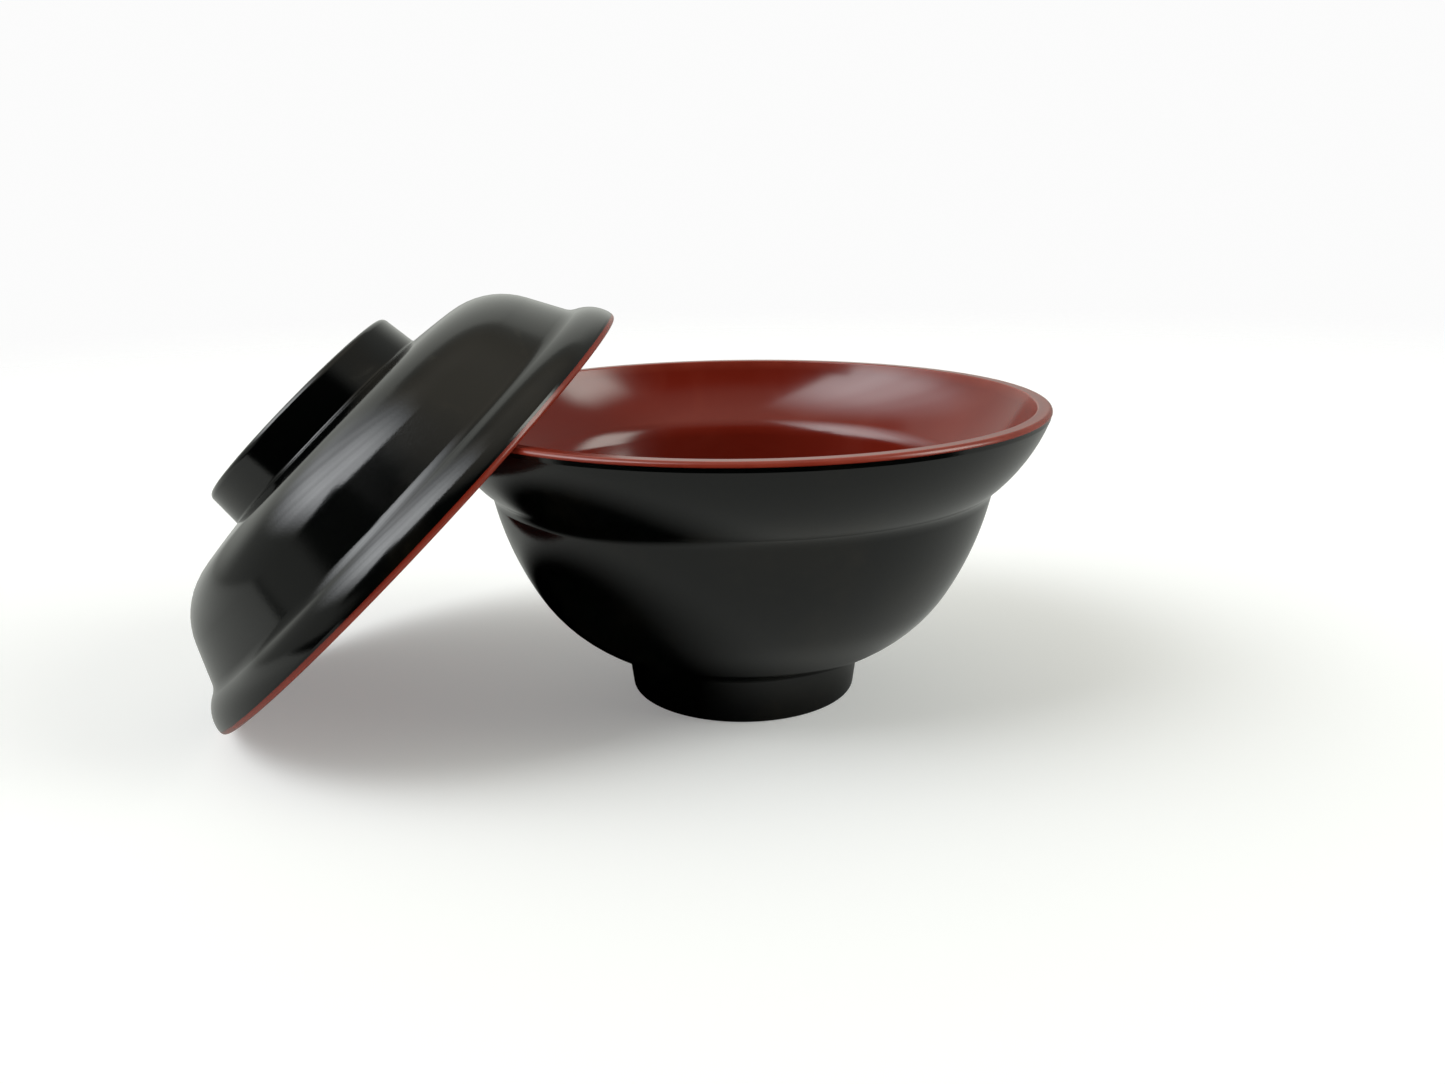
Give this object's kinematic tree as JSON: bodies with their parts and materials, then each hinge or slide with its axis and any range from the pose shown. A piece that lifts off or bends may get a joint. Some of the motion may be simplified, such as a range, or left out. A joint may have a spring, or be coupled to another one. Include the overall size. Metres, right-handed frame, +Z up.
{
  "type": "lidded rice bowl",
  "caption": "Flared two-tone rice bowl on a foot ring, with its domed lid leaning against it; the lid has a ring grip on top.",
  "frame": {"origin": "centre of the foot ring's bottom face, where the bowl's axis meets the table", "axes": "+Z up along the bowl's axis, -X towards the leaning lid; the lid is symmetric about the XZ plane"},
  "size_m": [0.2306, 0.165, 0.1113],
  "materials": {
    "black_melamine": "high gloss black melamine",
    "red_melamine": "high gloss brick red melamine"
  },
  "bodies": {
    "bowl": {"bowl_shell": "black_melamine", "bowl_lining": "red_melamine"},
    "lid": {"lid_shell": "black_melamine", "lid_lining": "red_melamine"}
  },
  "joints": [
    {"name": "lid_lift", "type": "slide", "parent": "bowl", "child": "lid", "axis": [0, 0, 1], "range_m": [0, 0.1]}
  ]
}
